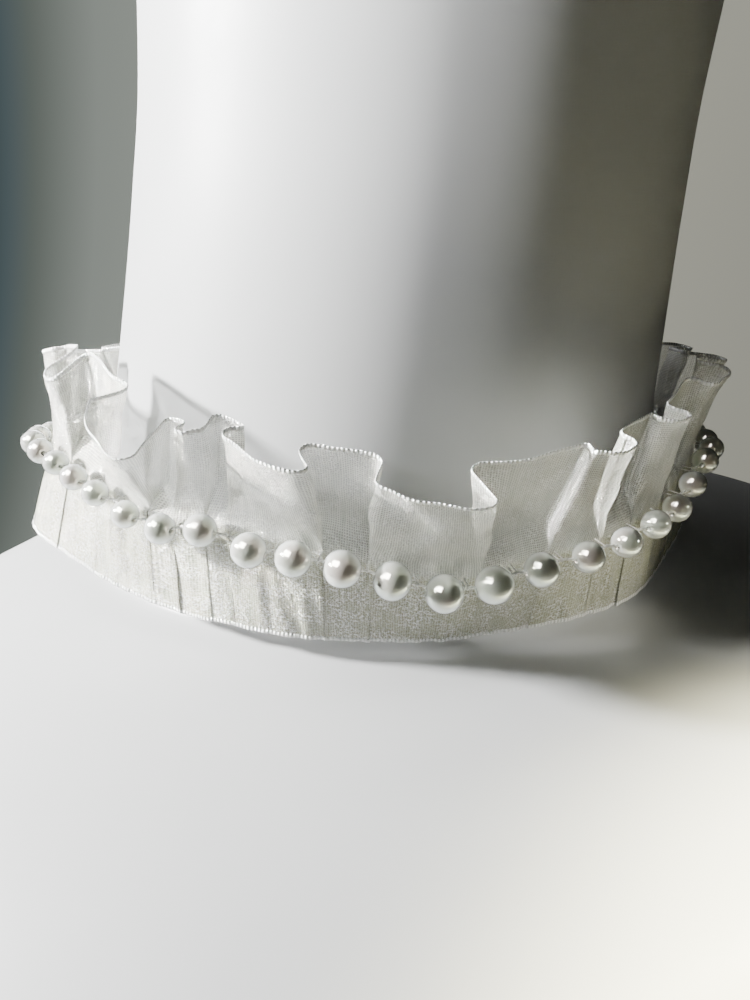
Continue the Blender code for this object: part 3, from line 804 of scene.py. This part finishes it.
def pleat_line(pleat, left, right, rise_before, level, press, hem):
    """One pleat at one level: recess, fold, front, fold, recess. Degrees along, and mm
    outwards from the recess. press is 1 where the layers are sewn or pressed flat, and
    hem is how far down the hem this is."""
    middle, half, narrowing, depth, skew, lean, rise_after, left_under, right_under, _ = pleat
    mm_per_degree = math.radians(LINE_RADIUS)
    centre = middle + lean * level
    half_width = half * mm_per_degree * mix(1.0, narrowing, level) + FRONT_SPREAD * (1 - level)
    stand = mix(mix(STITCH_DEPTH, depth, level**STAND_POWER), LAYER_STEP, press)
    most_under = half_width - UNDER_LEAST
    left_under = min(mix(FOLD_BACK, left_under, level), most_under)
    right_under = min(mix(FOLD_BACK, right_under, level), most_under)
    left = (left - centre) * mm_per_degree
    right = (right - centre) * mm_per_degree
    line = np.array(
        [
            (left, rise_before * level),
            (max(left_under - half_width, left + RECESS_LEAST), rise_before * level),
            (-half_width, stand - skew * level),
            (half_width, stand + skew * level),
            (min(half_width - right_under, right - RECESS_LEAST), rise_after * level),
            (right, rise_after * level),
        ]
    )
    radius = mix(mix(TURN_RADIUS, TURN_RADIUS_TOP, level), PRESSED_TURN, press)
    arcs = [rounded_corner(line[i - 1], line[i], line[i + 1], radius) for i in (1, 2, 3, 4)]
    ends = [line[0]] + [p for arc in arcs for p in (arc[0], arc[-1])] + [line[5]]
    points = []
    bulge = mix(FRONT_BULGE * level, HEM_BULGE * hem, press)
    for k in range(5):
        share = np.arange(SEGMENT_STEPS[k]) / SEGMENT_STEPS[k]
        piece = ends[2 * k] + (ends[2 * k + 1] - ends[2 * k]) * share[:, None]
        if k == 2:
            piece[:, 1] += bulge * 4 * share * (1 - share)
        points.append(piece)
        if k < 4:
            points.append(arcs[k][:-1])
    points = np.concatenate(points)
    return centre + points[:, 0] / mm_per_degree, points[:, 1]


def front_share(outwards):
    """How much of each point of a pleat's line is its front: 0 in the recess, 1 outside."""
    low, high = outwards.min(), outwards.max()
    return (outwards - low) / max(high - low, 0.001)


def folded_line(level, press, hem, end):
    """All pleats at one level: degrees along, mm outwards, and how much the front drops."""
    edges = pleat_edges(level, end)
    rises = [0.0] + list(read_table(PLEATS, PLEAT_COLUMNS, "rise"))
    rows = [
        pleat_line(pleat, a, b, rise, level, press, hem)
        for pleat, a, b, rise in zip(PLEATS, edges[:-1], edges[1:], rises)
    ]
    angle = np.concatenate([row[0] for row in rows] + [[end]])
    outwards = np.concatenate([row[1] for row in rows] + [[0.0]])
    drops = [row[-1] * front_share(line) for row, (_, line) in zip(PLEATS, rows)]
    return angle, outwards, np.concatenate(drops + [[0.0]])


def ribbon_end(level):
    """The ribbon's end runs back a little from the hem up to the ruffle."""
    return mix(HEM_END, RUFFLE_END, float(smooth_step(level / PRESS_REACH)))


def ruffle_row(level):
    """One row of the ruffle, from 0 at the stitches to 1 at its top edge."""
    press = 1.0 - float(smooth_step(level / PRESS_REACH))
    angle, outwards, drops = folded_line(level, press, 0.0, ribbon_end(level))
    length = RIBBON_WIDTH - profile("hem", angle)
    flare = np.radians(profile("flare", angle))
    base = mix(-STITCH_DEPTH, LAYER_FRONT - LAYER_STEP, press)
    radius = line_radius(angle) + base + length * level * np.sin(flare) + outwards
    drop = LEAN_DROP * length * level * outwards + level * level * drops
    height = profile("line", angle) + length * level * np.cos(flare) - drop
    return angle, radius, height, length * level


def hem_row(share):
    """One row of the hem, from 0 at the stitches to 1 at its lower edge."""
    angle, outwards, _ = folded_line(0.0, 1.0, share, HEM_END)
    length = profile("hem", angle)
    tuck = np.radians(profile("tuck", angle))
    opening = 1.0 + HEM_OPENING * share
    radius = line_radius(angle) + LAYER_FRONT - LAYER_STEP + outwards * opening
    radius -= length * share * np.sin(tuck)
    height = profile("line", angle) - length * share * np.cos(tuck)
    return angle, radius, height, -length * share


def ribbon_grid():
    """Rows of points from the hem's edge up to the ruffle's, with their cloth map in mm."""
    hem = [hem_row(share) for share in np.linspace(1.0, 0.0, HEM_ROWS + 1)[:-1]]
    ruffle = [ruffle_row(level) for level in np.linspace(0.0, 1.0, RUFFLE_ROWS + 1)]
    rows = hem + ruffle
    points = np.array([on_collar(a, r, h) for a, r, h, _ in rows])
    across = np.array([row[3] for row in rows])
    middle = points[HEM_ROWS + RUFFLE_ROWS // 2]
    return points, np.broadcast_to(travelled(middle), across.shape), across


def crease(points, along, across):
    """Small gathers by the stitches and soft dents where the stiff cloth has been handled."""
    normal = unit(np.cross(np.gradient(points, axis=1), np.gradient(points, axis=0)))
    height = np.clip(across, 0.0, None)
    gathers = wander(along, across * GATHER_ACROSS, seed=11, waves=7, shortest=1.8, longest=3.6)
    gathers = gathers * GATHER_DEPTH * np.exp(-((height / GATHER_REACH) ** 2))
    dents = wander(along, across, seed=23, waves=9, shortest=7.0, longest=18.0)
    dents = dents * DENT_DEPTH * smooth_step((height - DENT_START) / DENT_REACH)
    depth = np.clip(-across, 0.0, None)
    ripples = wander(along, depth * RIPPLE_ACROSS, seed=5, waves=7, shortest=4.0, longest=11.0)
    ripples = ripples * RIPPLE_DEPTH * smooth_step(depth / RIPPLE_REACH)
    return points + normal * (gathers + dents + ripples)[:, :, None]


def build_ribbon(material):
    points, along, across = ribbon_grid()
    points = crease(points, along, across)
    faces = grid_faces(*across.shape, wrap_columns=False)
    uv = np.stack([along, across], -1).reshape(-1, 2)
    return add_piece("ribbon_cloth", material, points.reshape(-1, 3), faces, uv), points


def build_selvedge(name, edge, inner, material):
    """The woven cord along one edge of the ribbon, a flat tube on the cloth's last row."""
    into = unit(inner - edge)
    path = edge + into * SELVEDGE_WIDTH * 0.5
    thick, wide = SELVEDGE_THICK / 2, SELVEDGE_WIDTH / 2
    return add_piece(name, material, *sweep(path, thick, SELVEDGE_SIDES, flat=into, wide=wide))


# ---- the pearls and sewing


def pearl_places():
    """Every pearl's angle, how far it sits above the line and its radius."""
    first, last = PEARLS[0][0], PEARLS[-1][0]
    more = range(1, math.ceil(PEARL_END / PEARL_STEP))
    before = [(first - PEARL_STEP * i, 0.0, PEARL_RADIUS) for i in more]
    after = [(last + PEARL_STEP * i, 0.0, PEARL_RADIUS) for i in more]
    return [row for row in before[::-1] + list(PEARLS) + after if abs(row[0]) < PEARL_END]


def strand_read(column, angle):
    """How far the strand sits above the line, or the pearls' radius, at any angle."""
    places = pearl_places()
    k = PEARL_COLUMNS.index(column)
    return np.interp(angle, [row[0] for row in places], [row[k] for row in places])


def strand_point(angle, lift=0.0, up=0.0):
    stand_off = WALL / 2 + PEARL_GAP + strand_read("radius", angle)
    height = profile("line", angle) + strand_read("up", angle) + up
    return on_collar(angle, line_radius(angle) + stand_off + lift, height)


def one_pearl(centre, along, out, size, rng):
    """A drilled pearl whose hole runs along the strand, very slightly out of round."""
    up = unit(np.cross(out, along))
    out = np.cross(along, up)
    hole = math.asin(PEARL_HOLE / size)
    polar = np.linspace(hole, math.pi - hole, PEARL_RINGS)
    ring_radius = np.sin(polar) * size
    ring_along = -np.cos(polar) * size
    # Round the lip and go a little way into the hole
    lip, start, end = PEARL_HOLE * PEARL_LIP, ring_along[0], ring_along[-1]
    ring_radius = np.concatenate([[lip], ring_radius, [lip]])
    ring_along = np.concatenate([[start + HOLE_DEPTH], ring_along, [end - HOLE_DEPTH]])
    turn = full_turn(PEARL_SIDES)
    scale = 1.0 + rng.normal(0.0, PEARL_VARIES)
    squash = 1.0 + rng.normal(0.0, PEARL_VARIES)
    verts = (
        centre
        + along * (ring_along * squash)[:, None, None]
        + out * (ring_radius[:, None] * np.cos(turn) * scale)[:, :, None]
        + up * (ring_radius[:, None] * np.sin(turn) * scale)[:, :, None]
    )
    return verts.reshape(-1, 3), grid_faces(len(ring_radius), PEARL_SIDES), np.zeros((0, 2))


def build_pearls(material):
    rng = np.random.default_rng(seed=7)
    parts = []
    for angle, _, size in pearl_places():
        centre = strand_point(angle)
        along = unit(strand_point(angle + 0.5) - strand_point(angle - 0.5))
        out = unit(strand_point(angle, lift=1.0) - centre)
        parts.append(one_pearl(centre, along, out, size, rng))
    verts, faces, _ = join_parts(parts)
    return add_piece("pearls", material, verts, faces)


def strand_thread():
    """The thread through the pearls, pulled in to the cloth between each two."""
    angles = np.array([row[0] for row in pearl_places()])
    count = np.arange(-0.5, len(angles) - 0.5 + 1e-6, 1 / STRAND_STEPS)
    angles = np.concatenate([[angles[0] - PEARL_STEP], angles, [angles[-1] + PEARL_STEP]])
    at = np.interp(count, np.arange(-1, len(angles) - 1), angles)
    # Straight inside each pearl, and deepest half way to the next
    dip = np.clip(1.0 - np.cos(math.pi * count) ** 2 * DIP_START, 0.0, 1.0) ** DIP_POWER
    return sweep(strand_point(at, lift=-STRAND_DIP * dip), THREAD, sides=8)


def couching_stitch(angle):
    """One stitch over the strand between two pearls, in and out of the cloth."""
    path = []
    for share in np.linspace(-1.0, 1.0, num=9):
        lift = -STRAND_DIP + STITCH_RISE * (1 - share * share)
        lift -= STITCH_DIVE * max(0.0, abs(share) - STITCH_BEND)
        where = angle + STITCH_SLANT * share
        path.append(strand_point(where, lift=lift, up=STITCH_SPAN * share))
    return sweep(path, STITCH_THREAD, sides=6)


def build_threads(material):
    parts = [strand_thread()]
    angles = [row[0] for row in pearl_places()]
    between = [(a + b) / 2 for a, b in zip(angles[:-1], angles[1:])]
    for angle in [angles[0] - PEARL_STEP / 2] + between + [angles[-1] + PEARL_STEP / 2]:
        parts.append(couching_stitch(angle))
    return add_piece("pearl_thread", material, *join_parts(parts))


# ---- the closure


def closure_frame(angle, height):
    """Place, round-the-neck, up and outward directions on the hem's outer face, in mm."""
    radius = line_radius(angle) + WALL / 2
    place = on_collar(angle, radius, height)
    out = unit(on_collar(angle, radius + 1.0, height) - place)
    up = unit(on_collar(angle, radius, height + 1.0) - place)
    return place, np.cross(up, out), up, out


def build_button(material):
    """A domed pearl button with a rolled rim and a shank, turned in one piece."""
    head = SEAM_GAP + SHANK_LENGTH
    flat = 1.0 - BUTTON_DOME
    outline = [(0.0, head + BUTTON_THICKNESS)]
    for step in range(1, DOME_STEPS + 1):
        a = math.radians(90.0 * step / DOME_STEPS)
        height = head + BUTTON_THICKNESS * (flat + BUTTON_DOME * math.cos(a))
        outline.append((BUTTON_RADIUS * math.sin(a), height))
    for step in range(1, RIM_STEPS + 1):
        a = math.radians(90.0 * step / RIM_STEPS)
        reach = BUTTON_RADIUS * (1.0 - BUTTON_RIM + BUTTON_RIM * math.cos(a))
        outline.append((reach, head + BUTTON_THICKNESS * flat * (1 - math.sin(a))))
    outline += [
        (SHANK_RADIUS * SHANK_FOOT, head),
        (SHANK_RADIUS, head - SHANK_FILLET),
        (SHANK_RADIUS, SEAM_GAP),
        (0.0, SEAM_GAP),
    ]
    height = float(profile("line", BUTTON_ANGLE)) - BUTTON_DROP
    place, along, up, out = closure_frame(BUTTON_ANGLE, height)
    sides = BUTTON_SIDES
    turn = full_turn(sides)[:, None]
    spokes = along * np.cos(turn) + up * np.sin(turn)
    rows = [place + out * z + r * spokes for r, z in outline[1:-1]]
    tips = [place + out * outline[0][1], place + out * outline[-1][1]]
    verts = np.concatenate(rows + [tips])
    faces = grid_faces(len(rows), sides)
    top, bottom, last = len(verts) - 2, len(verts) - 1, (len(rows) - 1) * sides
    faces += [[k, top, (k + 1) % sides] for k in range(sides)]
    faces += [[last + k, last + (k + 1) % sides, bottom] for k in range(sides)]
    button = add_piece("pearl_button", material, verts, faces)
    bm = bmesh.new()
    bm.from_mesh(button.data)
    bmesh.ops.recalc_face_normals(bm, faces=bm.faces)
    bm.to_mesh(button.data)
    bm.free()
    return button


def build_loop(material):
    """A twisted thread loop round the button's shank, sewn to the other end."""
    height = float(profile("line", 180.0)) - BUTTON_DROP
    lift = line_radius(180.0) + WALL / 2 + SEAM_GAP + LOOP_WIRE
    near, far = BUTTON_ANGLE, 360.0 - HEM_END + LOOP_INSET
    half_span = math.radians(far - near) * lift / 2
    middle = (near + far) / 2
    outline = []
    for end in (-1, 1):
        for step in range(LOOP_END_STEPS + 1):
            a = math.radians(-90.0 + 180.0 * step / LOOP_END_STEPS)
            bend = LOOP_WIDTH * math.cos(a)
            outline.append((end * (half_span + bend), end * LOOP_WIDTH * math.sin(a)))
        for step in range(1, LOOP_SIDE_STEPS):
            share = step / LOOP_SIDE_STEPS
            outline.append((end * half_span * (1 - 2 * share), end * LOOP_WIDTH))
    outline = np.array(outline)
    angle = middle + np.degrees(outline[:, 0] / lift)
    centre = on_collar(angle, np.full(len(outline), lift), height + outline[:, 1])
    steps = np.linalg.norm(np.roll(centre, -1, 0) - centre, axis=1)
    travel = np.concatenate([[0.0], np.cumsum(steps)[:-1]])
    turns = round(steps.sum() / PLY_TURN)
    ahead = unit(np.roll(centre, -1, 0) - np.roll(centre, 1, 0))
    outward = on_collar(180.0, 1.0, 0.0) - on_collar(180.0, 0.0, 0.0)
    side = unit(np.cross(ahead, outward))
    other = np.cross(side, ahead)
    parts = []
    for phase in (0.0, math.pi):
        a = 2 * math.pi * turns * travel / steps.sum() + phase
        wind = side * np.cos(a)[:, None] + other * np.sin(a)[:, None]
        path = centre + wind * LOOP_WIRE * PLY_OFFSET
        parts.append(sweep(path, LOOP_WIRE * PLY_RADIUS, sides=8, closed=True))
    return add_piece("button_loop", material, *join_parts(parts))


# ---- studio


def build_floor(material):
    """A round pale floor, finely divided near the middle."""
    turn = full_turn(FLOOR_SIDES)
    circle = np.stack([np.cos(turn), np.sin(turn), np.zeros(FLOOR_SIDES)], -1)
    verts = np.concatenate([circle * radius for radius in FLOOR_RINGS] + [np.zeros((1, 3))])
    tip = len(verts) - 1
    faces = [face[::-1] for face in grid_faces(len(FLOOR_RINGS), FLOOR_SIDES)]
    faces += [[(k + 1) % FLOOR_SIDES, tip, k] for k in range(FLOOR_SIDES)]
    return add_piece("studio_floor", material, verts - (0.0, 0.0, FLOOR_DROP), faces)


def from_azimuth(azimuth, elevation, distance, target=LIGHT_CENTRE):
    """A place seen from target at this azimuth from the front (+X side positive)."""
    a, e = math.radians(azimuth), math.radians(elevation)
    way = (math.sin(a) * math.cos(e), -math.cos(a) * math.cos(e), math.sin(e))
    return tuple(t + distance * w for t, w in zip(target, way))


def aimed(light, place, target, receivers):
    """Puts a light in the scene, turned to its target and kept to some of the pieces."""
    obj = bpy.data.objects.new(light.name, light)
    bpy.context.scene.collection.objects.link(obj)
    place, target = Vector(place), Vector(target)
    obj.location = place
    obj.rotation_euler = (target - place).to_track_quat("-Z", "Y").to_euler()
    group = bpy.data.collections.new(light.name + "_receivers")
    for piece in receivers:
        group.objects.link(piece)
    obj.light_linking.receiver_collection = group
    return obj


def add_area(name, place, target, size, power, receivers, mirrored=False):
    """A panel of light, width by height. A mirrored one only shows in glossy surfaces."""
    light = bpy.data.lights.new(name, "AREA")
    light.energy = power
    light.shape = "RECTANGLE"
    light.size, light.size_y = size
    obj = aimed(light, place, target, receivers)
    obj.visible_diffuse = not mirrored


def add_spot(name, place, target, radius, cone, blend, power, colour, receivers):
    """A round soft-edged beam: its source's radius and its cone's width in degrees."""
    light = bpy.data.lights.new(name, "SPOT")
    light.energy = power
    light.color = colour
    light.shadow_soft_size = radius
    light.spot_size = math.radians(cone)
    light.spot_blend = blend
    aimed(light, place, target, receivers)


def build_lights(pieces, fabric, beads, floor):
    # A soft box high on the left
    place, aim = from_azimuth(-98.0, 25.0, 0.60), (-0.02, -0.01, 0.12)
    add_spot("key", place, aim, 0.030, 31.0, 0.5, 104.0, (1.0, 0.995, 0.98), pieces)
    # Light from the same side, further round the neck
    aim = (0.0, -0.040, 0.208)
    place = from_azimuth(-85.0, 20.0, 0.9, aim)
    add_spot("neck", place, aim, 0.06, 10.6, 1.0, 165.0, (1.0, 1.0, 1.0), pieces)
    # The patch of light low on the right of the chest, and a little of it on the hem
    aim = (0.160, -0.1635, 0.035)
    place = from_azimuth(56.5, 15.0, 0.6, aim)
    add_spot("chest", place, aim, 0.006, 13.1, 0.28, 560.0, (1.0, 0.94, 0.64), pieces)
    aim = (0.024, -0.044, 0.091)
    place = from_azimuth(52.0, 8.0, 0.4, aim)
    add_spot("hem", place, aim, 0.004, 4.2, 1.0, 6.0, (1.0, 0.97, 0.82), pieces)
    # A broad dim panel behind the object
    place = from_azimuth(176.0, 8.0, 0.9)
    add_area("behind", place, LIGHT_TARGET, (0.5, 0.5), 6.0, pieces)
    # The window that the pearls and the cloth's threads mirror, and more of it for the pearls
    place = from_azimuth(-66.0, 44.0, 0.8)
    add_area("glint", place, LIGHT_TARGET, (0.62, 0.46), 34.0, fabric + beads, mirrored=True)
    add_area("window", place, LIGHT_TARGET, (0.40, 0.40), 80.0, beads, mirrored=True)
    # More light from the side, for the cloth alone
    place = from_azimuth(-105.0, 14.0, 0.7)
    add_area("side", place, LIGHT_TARGET, (0.2, 0.2), 7.5, fabric)
    # Even light on the floor
    add_area("overhead", (0.0, 0.0, 1.3), (0.0, 0.001, 0.0), (1.2, 1.2), 14.0, (floor,))


def build_world():
    """A dim room: grey-green on the left of the view and paler grey on the right."""
    world = bpy.data.worlds.new("studio_world")
    bpy.context.scene.world = world
    n = Nodes(world, "Background")
    way = n.add("ShaderNodeTexCoord").outputs["Generated"]
    across = n.math("MULTIPLY_ADD", n.dot(way, CAMERA_UP), ROOM_LEAN, n.dot(way, CAMERA_RIGHT))
    ramp = n.add("ShaderNodeValToRGB")
    while len(ramp.color_ramp.elements) < len(ROOM):
        ramp.color_ramp.elements.new(0.5)
    for element, (place, colour) in zip(ramp.color_ramp.elements, ROOM):
        element.position = place
        element.color = (*colour, 1.0)
    n.link(n.share(across, *ROOM_SPAN), ramp.inputs[0])
    # The room is seen brighter than it lights the object
    seen = n.add("ShaderNodeLightPath").outputs["Is Camera Ray"]
    n.set(Color=ramp.outputs[0], Strength=n.fit(seen, 0.0, 1.0, ROOM_LIGHT, ROOM_SEEN))


def build_camera():
    camera = bpy.data.cameras.new("camera")
    camera.sensor_fit = "VERTICAL"
    camera.sensor_height = SENSOR_HEIGHT
    camera.lens = CAMERA_LENS
    camera.clip_start = 0.01
    camera.clip_end = 20.0
    obj = bpy.data.objects.new("camera", camera)
    bpy.context.scene.collection.objects.link(obj)
    axes = Matrix((CAMERA_RIGHT, CAMERA_UP, CAMERA_BACK)).transposed().to_4x4()
    axes.translation = Vector(CAMERA_PLACE)
    obj.matrix_world = axes
    bpy.context.scene.camera = obj


def main():
    build_camera()
    organza, selvedge = organza_material(), selvedge_material()
    pearl, thread = pearl_material(), thread_material()

    bust = build_bust(bust_material())
    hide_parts("display_bust")

    cloth, points = build_ribbon(organza)
    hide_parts("ribbon_ruffle", "ribbon_hem")
    top = build_selvedge("selvedge_top", points[-1], points[-2], selvedge)
    hem = build_selvedge("selvedge_hem", points[0], points[1], selvedge)

    pearls = build_pearls(pearl)
    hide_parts("pearl_strand")
    threads = build_threads(thread)

    button = build_button(pearl_material("button_pearl"))
    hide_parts("closure_button")
    loop = build_loop(thread)
    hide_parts("closure_loop")

    pieces = (bust, cloth, top, hem, pearls, threads, button, loop)
    for piece in pieces:
        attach(piece, "root")

    floor = build_floor(floor_material())
    # The floor throws no light back on the bust
    floor.visible_diffuse = False
    build_lights(pieces, (cloth, top, hem), (pearls, button), floor)
    build_world()


main()
